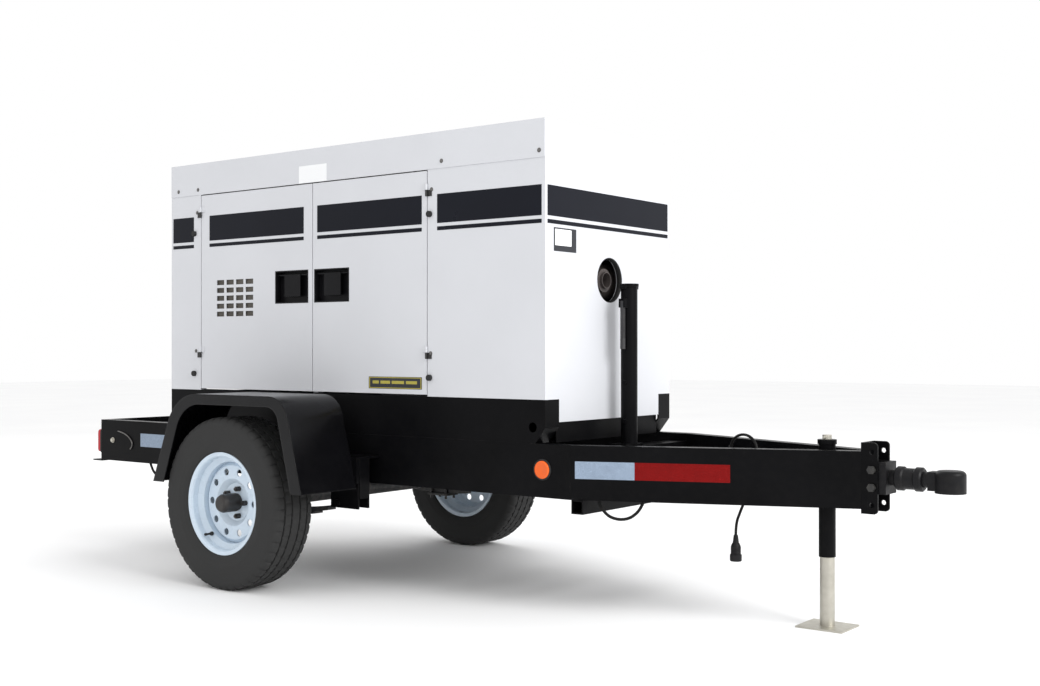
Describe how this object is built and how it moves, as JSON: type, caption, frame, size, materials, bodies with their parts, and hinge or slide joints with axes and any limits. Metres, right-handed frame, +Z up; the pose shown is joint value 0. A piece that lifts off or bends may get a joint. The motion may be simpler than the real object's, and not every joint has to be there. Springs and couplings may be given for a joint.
{
  "type": "towable diesel generator",
  "caption": "Sound-attenuated diesel generator in a sheet-metal cabinet with side doors, on a sprung single-axle trailer with A-frame tongue, jack and ball coupler.",
  "frame": {"origin": "bottom centre of the whole trailer's box, on the ground", "axes": "+X towards the hitch, +Y to the vehicle's left, +Z up"},
  "size_m": [4.108, 1.71, 1.797],
  "materials": {
    "frame_black": "semi-gloss",
    "cabinet_white": "semi-gloss",
    "fender_black": "satin",
    "wheel_white": "gloss",
    "tyre_rubber": "matt",
    "hub_steel": "satin",
    "zinc_steel": "satin",
    "spring_steel": "satin",
    "coupler_iron": "satin",
    "black_rubber": "matt",
    "latch_black": "satin",
    "engine_paint": "semi-gloss",
    "generator_paint": "semi-gloss",
    "fan_plastic": "matt",
    "radiator_alloy": "matt",
    "muffler_steel": "matt",
    "filter_black": "matt",
    "battery_case": "satin",
    "tank_plastic": "matt",
    "panel_grey": "satin",
    "lever_black": "gloss",
    "button_red": "gloss",
    "lens_red": "gloss",
    "lens_amber": "gloss",
    "cable_black": "satin",
    "plug_black": "satin"
  },
  "bodies": {
    "chassis": {"frame_rails": "frame_black", "tongue_rails": "frame_black", "crossmembers": "frame_black", "tongue_crossbeam": "frame_black", "hitch_channel": "frame_black", "hitch_bolts": "coupler_iron", "coupler_body": "coupler_iron", "jack_outer_tube": "frame_black", "carrier_post": "frame_black", "fender_left": "fender_black", "fender_right": "fender_black", "suspension_rails": "frame_black", "skid_base": "frame_black", "fuel_tank": "tank_plastic", "engine_mounts": "black_rubber", "roof_panel": "cabinet_white", "side_panels_left": "cabinet_white", "side_panels_right": "cabinet_white", "front_panel": "cabinet_white", "rear_panel": "cabinet_white", "door_hinges": "cabinet_white", "door_stops": "black_rubber", "engine_block": "engine_paint", "generator_housing": "generator_paint", "radiator": "radiator_alloy", "muffler": "muffler_steel", "air_cleaner": "filter_black", "battery": "battery_case", "control_panel": "panel_grey", "tail_lamps": "lens_red", "side_markers": "lens_amber", "wiring_harness": "cable_black", "trailer_lead": "cable_black", "trailer_plug": "plug_black"},
    "axle": {"axle_beam": "frame_black", "axle_u_bolts": "spring_steel", "leaf_springs": "spring_steel"},
    "wheel_left": {"tyre_left": "tyre_rubber", "rim_left": "wheel_white", "hub_left": "hub_steel"},
    "wheel_right": {"tyre_right": "tyre_rubber", "rim_right": "wheel_white", "hub_right": "hub_steel"},
    "door_rear_left": {"door_rear_left": "cabinet_white"},
    "door_rear_right": {"door_rear_right": "cabinet_white"},
    "door_front_left": {"door_front_left": "cabinet_white"},
    "door_front_right": {"door_front_right": "cabinet_white"},
    "latch_rear_left": {"latch_rear_left": "latch_black"},
    "latch_rear_right": {"latch_rear_right": "latch_black"},
    "latch_front_left": {"latch_front_left": "latch_black"},
    "latch_front_right": {"latch_front_right": "latch_black"},
    "jack_leg": {"jack_leg": "zinc_steel"},
    "jack_shaft": {"jack_shaft": "zinc_steel"},
    "coupler_collar": {"coupler_collar": "coupler_iron"},
    "post_lever": {"post_lever": "frame_black"},
    "cooling_fan": {"cooling_fan": "fan_plastic"},
    "breaker_lever": {"breaker_lever": "lever_black"},
    "stop_button": {"stop_button": "button_red"},
    "control_door": {"control_door": "cabinet_white"},
    "terminal_cover": {"terminal_cover": "cabinet_white"}
  },
  "joints": [
    {"name": "axle_travel", "type": "slide", "parent": "chassis", "child": "axle", "axis": [0, 0, 1], "range_m": [-0.035, 0.03], "stiffness_N_per_m": 200000, "springref_m": -0.055, "deforming": ["leaf_springs"]},
    {"name": "wheel_left_spin", "type": "hinge", "parent": "axle", "child": "wheel_left", "pos_m": [-0.624, 0.745, 0.344], "axis": [0, 1, 0], "continuous": true},
    {"name": "wheel_right_spin", "type": "hinge", "parent": "axle", "child": "wheel_right", "pos_m": [-0.624, -0.745, 0.344], "axis": [0, 1, 0], "continuous": true},
    {"name": "door_rear_left_hinge", "type": "hinge", "parent": "chassis", "child": "door_rear_left", "pos_m": [-1.236, 0.4415, 1.2], "axis": [0, 0, 1], "range_deg": [0, 150]},
    {"name": "door_front_left_hinge", "type": "hinge", "parent": "chassis", "child": "door_front_left", "pos_m": [0.12, 0.4415, 1.2], "axis": [0, 0, -1], "range_deg": [0, 150]},
    {"name": "latch_rear_left_paddle", "type": "hinge", "parent": "door_rear_left", "child": "latch_rear_left", "pos_m": [-0.624, 0.423, 1.274], "axis": [1, 0, 0], "range_deg": [0, 35], "stiffness_Nm_per_rad": 0.6},
    {"name": "latch_front_left_paddle", "type": "hinge", "parent": "door_front_left", "child": "latch_front_left", "pos_m": [-0.624, 0.423, 1.274], "axis": [1, 0, 0], "range_deg": [0, 35], "stiffness_Nm_per_rad": 0.6},
    {"name": "door_rear_right_hinge", "type": "hinge", "parent": "chassis", "child": "door_rear_right", "pos_m": [-1.236, -0.4415, 1.2], "axis": [0, 0, -1], "range_deg": [0, 150]},
    {"name": "door_front_right_hinge", "type": "hinge", "parent": "chassis", "child": "door_front_right", "pos_m": [0.12, -0.4415, 1.2], "axis": [0, 0, 1], "range_deg": [0, 150]},
    {"name": "latch_rear_right_paddle", "type": "hinge", "parent": "door_rear_right", "child": "latch_rear_right", "pos_m": [-0.624, -0.423, 1.274], "axis": [-1, 0, 0], "range_deg": [0, 35], "stiffness_Nm_per_rad": 0.6},
    {"name": "latch_front_right_paddle", "type": "hinge", "parent": "door_front_right", "child": "latch_front_right", "pos_m": [-0.624, -0.423, 1.274], "axis": [-1, 0, 0], "range_deg": [0, 35], "stiffness_Nm_per_rad": 0.6},
    {"name": "jack_leg_slide", "type": "slide", "parent": "chassis", "child": "jack_leg", "axis": [0, 0, 1], "range_m": [-0.08, 0.23]},
    {"name": "jack_crank", "type": "hinge", "parent": "chassis", "child": "jack_shaft", "pos_m": [1.576, 0, 0.65], "axis": [0, 0, 1], "range_deg": [-2900, 8300]},
    {"name": "collar_slide", "type": "slide", "parent": "chassis", "child": "coupler_collar", "axis": [1, 0, 0], "range_m": [-0.02, 0]},
    {"name": "post_lever_pivot", "type": "hinge", "parent": "chassis", "child": "post_lever", "pos_m": [0.767, -0.045, 1.137], "axis": [-1, 0, 0], "range_deg": [0, 90]},
    {"name": "fan_spin", "type": "hinge", "parent": "chassis", "child": "cooling_fan", "pos_m": [0.281, 0, 1.08], "axis": [1, 0, 0], "continuous": true},
    {"name": "breaker_throw", "type": "hinge", "parent": "chassis", "child": "breaker_lever", "pos_m": [-1.406, -0.15, 1.26], "axis": [0, 1, 0], "range_deg": [-25, 25]},
    {"name": "stop_push", "type": "slide", "parent": "chassis", "child": "stop_button", "axis": [1, 0, 0], "range_m": [0, 0.006], "stiffness_N_per_m": 400},
    {"name": "control_door_hinge", "type": "hinge", "parent": "chassis", "child": "control_door", "pos_m": [-1.453, 0.242, 1.355], "axis": [0, 0, -1], "range_deg": [0, 120]},
    {"name": "terminal_cover_hinge", "type": "hinge", "parent": "chassis", "child": "terminal_cover", "pos_m": [-1.453, 0, 1.097], "axis": [0, 1, 0], "range_deg": [0, 80]}
  ],
  "couplings": [
    {"joint": "jack_crank", "follows": "jack_leg_slide", "rad_per_m": 628.32}
  ]
}
